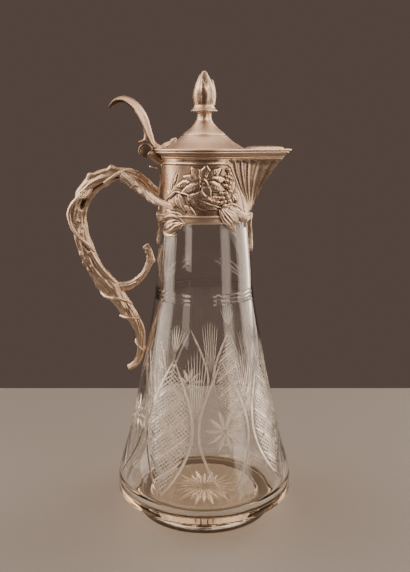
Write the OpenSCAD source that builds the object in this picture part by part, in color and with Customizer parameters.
// Claret jug: a cut glass body in a silver-plated mount with a grapevine handle and a hinged lid.
// Millimetres. +Z is up, +X points to the spout, -X to the handle, and -Y is the side seen in the photo.
// The origin is the centre of the foot, on the surface that the jug stands on.

/* [Glass] */
// Outer radius of the foot ring
foot_r = 55; // [54:0.5:56]
// Largest outer radius, at the band just above the foot
belly_r = 71.6; // [70.6:0.2:72.6]
// Outer radius of the glass just under the metal collar
neck_r = 35; // [34.6:0.1:35.2]
// Thickness of the solid glass base
base_t = 16; // [14:0.5:18]
// Thickness of the glass wall at the belly
belly_wall = 6; // [5:0.5:7]
// Thickness of the glass wall inside the collar
neck_wall = 3.4; // [3:0.1:3.6]

/* [Collar] */
// Height at which the metal collar starts
collar_z = 238; // [237.8:0.1:238.2]
// Height of the top of the mouth rim
rim_z = 290.5; // [290.2:0.1:290.6]
// Radius of the mouth rim on the handle side
rim_r = 37.8; // [37.4:0.1:37.9]
// Distance from the jug's axis to the tip of the spout
spout_reach = 63.2; // [62:0.2:64]
// Thickness of the metal sheet
sheet = 1.1; // [1:0.1:1.2]
// Height of the relief on the collar
relief_h = 1.2; // [0.8:0.1:1.6]

/* [Lid] */
// Clearance between the shut lid and the rim
lid_gap = 0.3; // [0.3:0.1:0.4]
// Thickness of the flat lid plate
lid_t = 1.8; // [1.6:0.1:2]
// Radius of the lid plate on the handle side
lid_r = 38.7; // [38.3:0.1:38.8]
// Distance from the jug's axis to the tip of the lid
lid_reach = 67.3; // [66:0.2:68]
// Height of the top of the finial
total_h = 350; // [349:0.5:351]

/* [Hinge] */
// Distance of the hinge axis behind the jug's axis
hinge_x = 44.5; // [44.4:0.1:44.8]
// Height of the hinge axis
hinge_z = 290.7; // [290.6:0.1:290.9]
// Radius of the hinge knuckles
knuckle_r = 5.3; // [5.1:0.1:5.4]
// Radius of the hinge pin
pin_r = 1.5; // [1.3:0.1:1.7]
// Radial running clearance of the pin in the lid's knuckle
pin_gap = 0.05; // [0.04:0.01:0.08]
// Length of the whole hinge
hinge_w = 16; // [15:0.5:17]

/* [Handle] */
// Width of the thumbpiece at its crest
thumb_w = 16; // [14:0.5:18]
// Factor on the thickness of the vine handle
vine_fat = 1; // [0.9:0.05:1.05]

/* [Hidden] */
eps = 0.01;
round_fn = 96;
glass_tone = [0.93, 0.88, 0.78, 0.45];
plate_tone = [0.66, 0.62, 0.57];
dark_tone = [0.48, 0.44, 0.4];
plaster_tone = [0.9, 0.88, 0.82];

// Point at t on the smooth curve between b and c
function curve_at(a, b, c, d, t) =
    b + 0.5 * ((c - a) * t + (2 * a - 5 * b + 4 * c - d) * t * t + (3 * b - a - 3 * c + d) * t * t * t);
// Smooth curve through the points p, with n steps in each span
function smooth(p, n) =
    let (last = len(p) - 1)
    concat([for (i = [0:last - 1], k = [0:n - 1])
        curve_at(p[max(i - 1, 0)], p[i], p[i + 1], p[min(i + 2, last)], k / n)], [p[last]]);
function backwards(p) = [for (i = [len(p) - 1:-1:0]) p[i]];

// Outside of the glass from the belly up to the collar, as [radius, height]
glass_top_z = 249.5;
neck_in_r = neck_r - 1.8;
glass_outside = smooth([[belly_r - 0.3, 17.5], [belly_r, 23], [belly_r - 1.6, 35.5], [61.2, 67],
    [52.1, 108], [45, 145], [39.4, 178], [38, 200], [35.6, 229], [neck_r, collar_z - 0.3]], 4);
glass_inside = smooth([[neck_in_r - neck_wall, glass_top_z - 1.4], [32, 225], [34.4, 200], [35.9, 178],
    [40.9, 145], [47.4, 108], [56, 67], [belly_r - belly_wall - 1.8, 36],
    [belly_r - belly_wall - 0.6, base_t + 11], [belly_r - belly_wall - 5, base_t + 3.5],
    [belly_r - belly_wall - 14, base_t + 0.6], [0, base_t]], 4);
function glass_radius(z) = lookup(z, [for (p = glass_outside) [p[1], p[0]]]);

// Outer radius of the collar sleeve, and reach of the spout, at height z
frieze_z = 282.5;
rim_t = 1.6;
sleeve_steps = [collar_z, 244, 249, 255, 260, 266, 271, 276, frieze_z];
function sleeve_r(z) = lookup(z, [[collar_z, 35.6], [244, 35.7], [255, 35.4], [266, 34.2],
    [276, 33.1], [frieze_z, 32.8]]);
spout_low_z = 246;
function spout_x(z) = lookup(z, [[spout_low_z, 37.4], [249, 38.4], [253.5, 40.1], [258, 42.2],
    [263.5, 45.2], [269, 48.9], [275, 53.1], [frieze_z, 58.4]]);
spout_tip_r = 5;
window_low_z = 251.5;

// Angle at which the spout's flat sides leave a round of radius r to meet its tip
function spout_angle(r, reach, tip) = acos(min(1, (r - tip) / (reach - tip)));
// Plan of the mouth: a round of radius r drawn out to a rounded tip
function pear(r, reach, tip, back_n = 40, tip_n = 8) =
    let (a = spout_angle(r, reach, tip))
    concat([for (i = [0:back_n]) let (t = a + (360 - 2 * a) * i / back_n) r * [cos(t), sin(t)]],
        [for (i = [0:tip_n]) let (t = -a + 2 * a * i / tip_n)
            [reach - tip, 0] + tip * [cos(t), sin(t)]]);
// The part of that plan that is the spout: both flat sides and the tip
function spout_strip(r, reach, tip, side_n = 5, tip_n = 8) =
    let (a = spout_angle(r, reach, tip), far = [reach - tip, 0])
    concat([for (i = [0:side_n - 1])
            let (s = i / side_n) (1 - s) * r * [cos(a), -sin(a)] + s * (far + tip * [cos(a), -sin(a)])],
        [for (i = [0:tip_n]) let (t = -a + 2 * a * i / tip_n) far + tip * [cos(t), sin(t)]],
        [for (i = [side_n - 1:-1:0])
            let (s = i / side_n) (1 - s) * r * [cos(a), sin(a)] + s * (far + tip * [cos(a), sin(a)])]);

// Skin over closed rings of equal length, given from the bottom up, each counter-clockwise.
// A folded ring runs along one side of a thin wall and back along the other, and its ends are
// closed in pairs.
module skin(rings, folded = false) {
    n = len(rings[0]);
    m = len(rings);
    points = [for (ring = rings) each ring];
    sides = [for (j = [0:m - 2], i = [0:n - 1]) let (k = (i + 1) % n, a = j * n, b = a + n)
        each [[a + i, b + i, b + k], [a + i, b + k, a + k]]];
    bottom = folded ? [for (i = [0:n / 2 - 2]) [i, i + 1, n - 2 - i, n - 1 - i]]
        : [[for (i = [0:n - 1]) i]];
    top = [for (face = bottom) [for (i = backwards(face)) (m - 1) * n + i]];
    polyhedron(points = points, faces = concat(sides, bottom, top), convexity = 6);
}
function lift(plan, z) = [for (p = plan) [p[0], p[1], z]];

// Unit vector and cross-section ring used by the swept branches
function unit(v) = v / norm(v);
function ring_at(p, dir, r, sides) =
    let (side = unit(cross(dir, [0, 1, 0.02])), up = cross(side, dir))
    [for (i = [0:sides - 1]) p + r * (cos(360 * i / sides) * side + sin(360 * i / sides) * up)];
// Branch along a hand-drawn route of [x, y, z, radius], with sides faces round it
module branch(route, steps, sides) {
    line = smooth(route, steps);
    last = len(line) - 1;
    at = [for (p = line) [p[0], p[1], p[2]]];
    skin([for (i = [0:last])
        ring_at(at[i], unit(at[min(i + 1, last)] - at[max(i - 1, 0)]), line[i][3] * vine_fat, sides)]);
}

// Surface of revolution of a closed outline
module turned(outline) {
    rotate_extrude($fn = round_fn) polygon(outline);
}
// Solid plate with the plan of the mouth, between two heights
module mouth_plate(r, reach, tip, low_z, high_z) {
    translate([0, 0, low_z]) linear_extrude(high_z - low_z) {
        circle(r, $fn = round_fn);
        translate([reach - tip, 0]) circle(tip, $fn = round_fn);
        a = spout_angle(r, reach, tip);
        polygon([r * [cos(a), sin(a)], r * [cos(a), -sin(a)],
            [reach - tip, 0] + tip * [cos(a), -sin(a)], [reach - tip, 0] + tip * [cos(a), sin(a)]]);
    }
}
// Keeps the part of a child that lies inside an outline pushed outwards from the jug's axis at azimuth az
module stamped(az) {
    intersection() {
        children(0);
        rotate([0, 0, az]) translate([0, -15, 0]) rotate([90, 0, 0]) linear_extrude(40) children(1);
    }
}
// Outline of a vine leaf with five pointed lobes, w wide
module leaf_outline(w) {
    polygon([for (t = [0:9:351]) let (lobe = 1 - abs(((t + 18) % 72) / 36 - 1))
        w * (0.3 + 0.22 * lobe) * [sin(t), cos(t)]]);
}
// Outline of a drooping leaf with a point at each end, w wide and h high
module droop_outline(w, h) {
    polygon([for (t = [0:15:345]) [0.5 * w * sin(t) * (1 - 0.25 * cos(t)), 0.5 * h * cos(t)]]);
}

module glass_body() {
    foot = [[0, 1.4], [43, 1.4], [46, 0], [foot_r - 1, 0], [foot_r, 1], [foot_r, 6.2],
        [foot_r + 1.8, 8.2], [belly_r - 1.6, 16.2]];
    shoulder = [[neck_in_r, collar_z + 0.2], [neck_in_r, glass_top_z - 1.2],
        [neck_in_r - 1.2, glass_top_z], [neck_in_r - neck_wall + 1.2, glass_top_z]];
    color(glass_tone) turned(concat(foot, glass_outside, shoulder, glass_inside));
}
module plaster_seat() {
    low = collar_z + 1.2;
    color(plaster_tone) turned([[neck_in_r, low], [sleeve_r(low) - sheet, low],
        [sleeve_r(244) - sheet, 244], [sleeve_r(248) - sheet, 248], [neck_in_r, 248]]);
}
module collar_sleeve() {
    outer = [for (z = sleeve_steps) [sleeve_r(z), z]];
    inner = [for (p = backwards(outer)) [p[0] - sheet, p[1]]];
    heights = [window_low_z, 255, 260, 266, 271, 276, frieze_z + eps];
    half = [for (z = heights)
        [max(2, sleeve_r(z) * sin(spout_angle(sleeve_r(z), spout_x(z), spout_tip_r)) - 1.4), z]];
    color(plate_tone) difference() {
        turned(concat(outer, inner));
        translate([12, 0, 0]) rotate([90, 0, 90]) linear_extrude(40)
            polygon(concat(half, [for (p = backwards(half)) [-p[0], p[1]]]));
    }
}
module bottom_band() {
    r = sleeve_r(241);
    color(plate_tone) turned([[sleeve_r(238.6), 238.6], [r + 0.5, 238.6], [r + 0.9, 239.6],
        [r + 0.9, 242.6], [r + 0.5, 243.8], [sleeve_r(243.8), 243.8]]);
}
// Hollow cove that widens from the collar to the rim, round the mouth and the spout
module frieze_band() {
    low = frieze_z;
    high = rim_z - rim_t;
    flare = [[0, 0], [0.25, 0.06], [0.5, 0.22], [0.75, 0.52], [1, 1]];
    function plan(s, f, d) = lift(pear(32.8 + (rim_r - 33.4) * f - d,
        spout_x(low) + (spout_reach - 0.6 - spout_x(low)) * f - d, spout_tip_r - d),
        low + (high - low) * s);
    color(plate_tone) difference() {
        skin([for (s = flare) plan(s[0], s[1], 0)]);
        skin(concat([lift([for (p = plan(0, 0, sheet)) [p[0], p[1]]], low - 1)],
            [for (s = flare) plan(s[0], s[1], sheet)],
            [lift([for (p = plan(1, 1, sheet)) [p[0], p[1]]], high + 1)]));
    }
}
module mouth_rim() {
    color(plate_tone) difference() {
        mouth_plate(rim_r, spout_reach, spout_tip_r, rim_z - rim_t, rim_z);
        mouth_plate(rim_r - 2.2, spout_reach - 2.2, spout_tip_r - 2.2, rim_z - 3, rim_z + 1);
    }
}
module pouring_spout() {
    heights = [spout_low_z, 249, 252, 255, 258, 262, 266, 270, 274, 278, frieze_z];
    color(plate_tone) skin([for (z = heights) let (r = sleeve_r(z), x = spout_x(z))
        lift(concat(spout_strip(r, x, spout_tip_r),
            backwards(spout_strip(r - sheet, x - sheet, spout_tip_r - sheet))), z)], folded = true);
}

// Relief shell that lies on the sleeve
module relief_shell(h) {
    steps = [for (z = sleeve_steps) if (z > collar_z && z < frieze_z) z];
    turned(concat([for (z = steps) [sleeve_r(z), z]],
        [for (z = backwards(steps)) [sleeve_r(z) + h, z]]));
}
// Large lobed leaf, a smaller one and the branch that carries them, on the near side at az = 0
module vine_spray(side) {
    color(plate_tone) stamped(0) {
        relief_shell(relief_h);
        scale([side, 1]) {
            translate([1, 269]) leaf_outline(27);
            translate([-14, 258]) rotate(35) leaf_outline(18);
            translate([4, 253.5]) rotate(-60) leaf_outline(17);
            polygon([[-26, 263], [-24, 266], [-10, 264], [4, 258], [18, 249], [16, 247], [2, 254],
                [-12, 260]]);
        }
    }
}
module vine_spray_front() vine_spray(1);
module vine_spray_back() rotate([0, 0, 180]) vine_spray(-1);
// Bunch of grapes: round berries, set apart and sunk into the sleeve
berry_r = 1.6;
berry_step = 3.3;
berry_out = 0.7;
module grape_bunch(side) {
    rows = [[17.4, 277, 1], [19, 273.6, 1], [18.4, 270.2, 1], [19.4, 266.8, 1], [17.6, 263.4, 2],
        [15.8, 260.3, 3], [14.2, 257.2, 3], [15.2, 254.1, 2], [14.4, 251, 1]];
    color(plate_tone) for (row = rows, i = [0:row[2] - 1]) {
        x = side * (row[0] + berry_step * (i - (row[2] - 1) / 2));
        y = sqrt(pow(sleeve_r(row[1]) + berry_out, 2) - x * x);
        translate([x, -y, row[1]]) sphere(berry_r, $fn = 24);
    }
}
module grape_bunch_front() grape_bunch(1);
module grape_bunch_back() rotate([0, 0, 180]) grape_bunch(-1);
// Leaves that hang from the bottom band over the glass: azimuth, width, height, middle height
leaf_places = [[-41, 15, 19, 234.5], [32, 12, 17, 237], [139, 12, 17, 237], [221, 15, 19, 234.5],
    [90, 9, 31, 225], [-90, 8, 24, 229]];
module pendant_leaves() {
    gap = 0.5;
    thick = 1;
    high = 246;
    low = 209;
    base = sleeve_r(241) + 0.9;
    heights = [low, 215, 221, 227, 232, collar_z - 1, collar_z + 1.6];
    inner = [for (z = heights) [max(glass_radius(z) + gap, z > collar_z ? base : 0), z]];
    color(plate_tone) for (leaf = leaf_places) stamped(leaf[0]) {
        turned(concat(inner, [[base, high], [base + thick, high]],
            [for (p = backwards(inner)) [p[0] + thick, p[1]]]));
        translate([0, leaf[3]]) droop_outline(leaf[1], leaf[2]);
    }
}

// Small leaf that stands off the collar under the hinge
module rear_leaf() {
    r = sleeve_r(270);
    color(plate_tone) difference() {
        translate([0, 3, 0]) rotate([90, 0, 0]) linear_extrude(6)
            polygon(smooth([[-r + 1, 266], [-r - 1.2, 270], [-r - 2.2, 275], [-r - 4.8, 277.4],
                [-r - 8, 278.4], [-r - 5, 279.6], [-r - 1, 280.4], [-r + 1, 279]], 2));
        turned(concat([[0, collar_z]], [for (z = sleeve_steps) [sleeve_r(z), z]], [[0, frieze_z]]));
    }
}

// Grapevine handle: routes of [x, y, z, radius], from the collar round to the hooked lower end
stem_route = [[-55, 0, 270.8, 4], [-60.5, 0, 272, 5.6], [-68, 0, 272.8, 5.4], [-78, 0, 270, 7],
    [-87, 0, 264.5, 7.3], [-94.2, 0, 254.5, 6.5], [-97.8, 0, 241, 5.9], [-96.8, 0, 226, 5.9],
    [-91, 0, 209, 6.2], [-83.5, 0, 194.5, 6.4], [-77, 0, 186, 7.1], [-70, 0, 177, 6.6],
    [-62, 0, 166, 5.4], [-56, 0, 157, 4.1], [-52.5, 0, 149, 3.6], [-51.5, 0, 140, 3.3],
    [-52, 0, 130, 2.6], [-55, 0, 121.5, 2.4], [-62, 0, 116.5, 1.9]];
fork_front_route = [[-62, -2, 271.2, 4.2], [-56.5, -4, 267.8, 4], [-51.6, -6, 264, 3.6],
    [-44.6, -9.5, 259, 3.4], [-37.6, -15, 254.3, 2.9], [-30.6, -21, 252, 2.2], [-23.7, -28, 250.2, 1.5]];
fork_back_route = [[-60, 2, 271.6, 4.2], [-54, 4.5, 271, 3.8], [-47.5, 7.5, 267, 3.4],
    [-41.5, 11, 261.8, 3.1], [-35.3, 16, 256.8, 2.7], [-29.5, 21.5, 253.4, 2.2], [-24.5, 26.8, 251, 1.7]];
scroll_route = [[-70.5, 0, 183, 3.6], [-63, 0, 184.8, 3.2], [-56.5, 0, 187, 2.9], [-49.5, 0, 193, 2.7],
    [-44, 0, 201.5, 2.6], [-42.6, 0, 208, 2.6], [-43.8, 0, 213.4, 2.5], [-46, 0, 217.8, 2.3]];
tendril_route = [[-58.7, 0, 277.2, 1.3], [-64.1, -3.4, 275.6, 1.4], [-69.5, -5.6, 271.8, 1.4],
    [-75.7, -6.4, 267.2, 1.2]];
side_twig_route = [[-96, -1, 256.5, 2.4], [-102, -2.5, 251, 1.7], [-105.4, -3, 244.5, 1.6],
    [-105.2, -3.2, 237.5, 1.6], [-102.4, -4, 230.4, 1.6], [-97.4, -5.8, 224.3, 1.6],
    [-90.5, -6.2, 218, 1.5], [-86, -4.6, 213.5, 1.3]];

module handle_stem() {
    color(plate_tone) branch(stem_route, 3, 12);
}
module handle_fork_front() {
    color(plate_tone) branch(fork_front_route, 3, 10);
}
module handle_fork_back() {
    color(plate_tone) branch(fork_back_route, 3, 10);
}
module handle_scroll() {
    color(plate_tone) branch(scroll_route, 3, 10);
}
module handle_tendril() {
    color(dark_tone) {
        branch(tendril_route, 3, 8);
        branch(side_twig_route, 3, 8);
    }
}

// Hinge: two outer knuckles soldered to the collar, with the lid's knuckle between them
knuckle_gap = 0.25;
lid_knuckle_w = hinge_w / 2 - 0.5;
cap_t = 1;
outer_low_y = lid_knuckle_w / 2 + knuckle_gap;
tab_in = 0.6;
module at_hinge(from_y, to_y) {
    translate([-hinge_x, to_y, hinge_z]) rotate([90, 0, 0]) linear_extrude(to_y - from_y) children();
}
module hinge_bracket() {
    color(plate_tone) for (side = [0, 1]) mirror([0, side, 0])
        at_hinge(outer_low_y, hinge_w / 2 - cap_t) difference() {
            union() {
                circle(knuckle_r, $fn = round_fn);
                polygon([[-4.4, -3], [-1, -5.2], [3, -7.2], [7, -9.4], [12, -9.8], [12.7, -7.6],
                    [9.8, -4.4], [6.9, -1.6], [4, 0]]);
            }
            circle(pin_r, $fn = round_fn);
        }
}
module hinge_pin() {
    color(dark_tone) at_hinge(-hinge_w / 2 + cap_t, hinge_w / 2 - cap_t) circle(pin_r, $fn = round_fn);
}
module hinge_caps() {
    color(plate_tone) for (side = [0, 1]) mirror([0, side, 0]) {
        translate([-hinge_x, hinge_w / 2 - cap_t, hinge_z]) rotate([-90, 0, 0])
            rotate_extrude($fn = round_fn)
                polygon([[0, 0], [knuckle_r, 0], [knuckle_r - 0.4, cap_t * 0.6],
                    [knuckle_r - 1.4, cap_t], [0, cap_t]]);
    }
}
module lid_knuckle() {
    low = rim_z + lid_gap - hinge_z;
    color(plate_tone) at_hinge(-lid_knuckle_w / 2, lid_knuckle_w / 2) difference() {
        union() {
            circle(knuckle_r, $fn = round_fn);
            polygon([[0, low], [hinge_x - lid_r + tab_in, low], [hinge_x - lid_r + tab_in, low + lid_t],
                [4.6, low + lid_t], [3, 4.3]]);
        }
        circle(pin_r + pin_gap, $fn = round_fn);
    }
}

// Lid plate over the mouth and spout, with a raised pad over the spout
lid_z = rim_z + lid_gap;
lid_top_z = lid_z + lid_t;
dome_bore_r = 27;
lid_tip_r = 4.5;
module lid_plate() {
    pad = 1.2;
    color(plate_tone) difference() {
        union() {
            difference() {
                mouth_plate(lid_r, lid_reach, lid_tip_r, lid_z, lid_top_z);
                translate([-lid_r - 5, -lid_knuckle_w / 2, lid_z - 1])
                    cube([5 + tab_in, lid_knuckle_w, lid_t + 2]);
            }
            intersection() {
                mouth_plate(lid_r - 6, lid_reach - 8, 2.5, lid_top_z - eps, lid_top_z + pad);
                translate([32.5, -20, lid_top_z - 1]) cube([40, 40, 4]);
            }
        }
        translate([0, 0, lid_z - 1]) cylinder(lid_t + 3, dome_bore_r, dome_bore_r, $fn = round_fn);
    }
}
dome_z = 312.4;
dome_outside = [[30.5, lid_top_z], [29, 293.5], [25.6, 295.5], [22.1, 297.7], [19.2, 300.2], [17.1, 302.4],
    [16.4, 303], [14.1, 304.9], [10.8, 307.6], [8.4, 310.2], [6.9, dome_z]];
module lid_dome() {
    inner = [[0, dome_z - 2.6], [5.4, dome_z - 2.6], [7.4, 308.4], [9.9, 306.2], [13, 303.5],
        [15.6, 301.2], [18.1, 298.8], [21, 296.3], [24.4, 294.3], [28.2, lid_top_z]];
    color(plate_tone) difference() {
        turned(concat(dome_outside, [[0, dome_z]], inner));
        translate([0, 0, dome_z - 5]) cylinder(8, pin_r, pin_r, $fn = round_fn);
    }
}

// Thumbpiece: a crested strip that rises from the lid and curls back over the handle
thumb_outside = smooth([[-35.6, lid_top_z], [-38.6, 297], [-41, 307], [-44.5, 318], [-51.5, 327],
    [-60, 331], [-67.5, 329], [-72.2, 323.7]], 4);
thumb_inside = smooth([[-71.4, 322.4], [-67, 325.8], [-60, 325.2], [-53, 319.5], [-47.6, 310.5],
    [-44, 301.5], [-41.4, 297], [-38.9, lid_top_z]], 4);
module from_the_front(from_x, to_x) {
    translate([from_x, 0, 0]) rotate([90, 0, 90]) linear_extrude(to_x - from_x) children();
}
module thumbpiece() {
    half = smooth([[3.2, lid_top_z], [3.4, 300], [4.8, 312], [thumb_w * 0.44, 322], [thumb_w / 2, 328],
        [thumb_w / 2, 332]], 3);
    color(plate_tone) intersection() {
        translate([0, 15, 0]) rotate([90, 0, 0]) linear_extrude(30)
            polygon(concat(thumb_outside, thumb_inside));
        from_the_front(-80, -30) polygon(concat(half, [for (p = backwards(half)) [-p[0], p[1]]]));
    }
}
// Curled strut under the thumbpiece, over the hinge
module thumb_brace() {
    curl = smooth([[-47, 308.6], [-45.6, 304.5], [-46, 300.8], [-48.4, 298.6], [-51, 297.6]], 3);
    back = smooth([[-51.2, 296.6], [-47.6, 297], [-44.6, 298.8], [-43.7, 301.2], [-44, 304],
        [-45.2, 307]], 3);
    color(plate_tone) translate([0, 2.6, 0]) rotate([90, 0, 0]) linear_extrude(5.2)
        difference() {
            polygon(concat(curl, back));
            polygon(concat(thumb_outside, thumb_inside));
        }
}
// Pointed leaf from the foot of the thumbpiece over the lid and up the dome
module thumb_leaf() {
    top = smooth([[-36.6, lid_top_z + 2.8], [-33, lid_top_z + 2.1], [-29.6, 296], [-26.2, 297.8],
        [-23.1, 299.2], [-21.8, 299.6]], 3);
    under = [[-21.4, 298.4], [-24.6, 296], [-28, 294.2], [-30.8, lid_top_z], [-36.2, lid_top_z]];
    leaf_plan = smooth([[-36.6, 3.4], [-33.5, 4.6], [-29.5, 5.6], [-25.5, 4], [-22, 0.4]], 3);
    color(plate_tone) difference() {
        intersection() {
            translate([0, 15, 0]) rotate([90, 0, 0]) linear_extrude(30) polygon(concat(top, under));
            translate([0, 0, lid_z]) linear_extrude(20)
                polygon(concat(leaf_plan, [for (p = backwards(leaf_plan)) [p[0], -p[1]]]));
        }
        turned(concat([[0, lid_top_z - 1], [30.5, lid_top_z - 1]], dome_outside, [[0, dome_z]]));
        translate([0, 15, 0]) rotate([90, 0, 0]) linear_extrude(30)
            polygon(concat(thumb_outside, thumb_inside));
    }
}

// Finial: a waisted neck, a flared calyx and a bud, drawn down on the dome by a stud and nut
calyx_z = 319.4;
bud_z = 325;
stud_low_z = 304.6;
module finial_neck() {
    color(plate_tone) turned(concat([[pin_r, dome_z]],
        smooth([[6.8, dome_z], [5.9, 313.8], [5.4, 316], [5.4, 317.8], [6.6, calyx_z]], 3),
        [[pin_r, calyx_z]]));
}
module finial_calyx() {
    color(plate_tone) turned(concat([[pin_r, calyx_z]],
        smooth([[7, calyx_z], [10.1, 320.4], [9.9, 321.3], [8.4, 323], [7.4, bud_z]], 3),
        [[pin_r, bud_z]]));
}
module finial_bud() {
    color(plate_tone) turned(concat([[0, 326], [pin_r, 326], [pin_r, bud_z]],
        smooth([[7.2, bud_z], [8.2, 329], [8.8, 333.6], [8, 338.6], [5.5, 344.3], [2.6, 348],
            [0, total_h]], 4)));
}
module finial_stud() {
    color(dark_tone) translate([0, 0, stud_low_z]) cylinder(326 - stud_low_z, pin_r, pin_r, $fn = round_fn);
}
module finial_washer() {
    color(dark_tone) translate([0, 0, dome_z - 3.4]) difference() {
        cylinder(0.8, 4.4, 4.4, $fn = round_fn);
        translate([0, 0, -1]) cylinder(3, pin_r, pin_r, $fn = round_fn);
    }
}
module finial_nut() {
    color(dark_tone) translate([0, 0, dome_z - 6.2]) difference() {
        cylinder(2.8, 3.4, 3.4, $fn = 6);
        translate([0, 0, -1]) cylinder(5, pin_r, pin_r, $fn = round_fn);
    }
}

glass_body();
plaster_seat();
collar_sleeve();
bottom_band();
frieze_band();
mouth_rim();
pouring_spout();
vine_spray_front();
vine_spray_back();
grape_bunch_front();
grape_bunch_back();
pendant_leaves();
rear_leaf();
handle_stem();
handle_fork_front();
handle_fork_back();
handle_scroll();
handle_tendril();
hinge_bracket();
hinge_pin();
hinge_caps();
lid_plate();
lid_dome();
lid_knuckle();
thumbpiece();
thumb_brace();
thumb_leaf();
finial_neck();
finial_calyx();
finial_bud();
finial_stud();
finial_washer();
finial_nut();
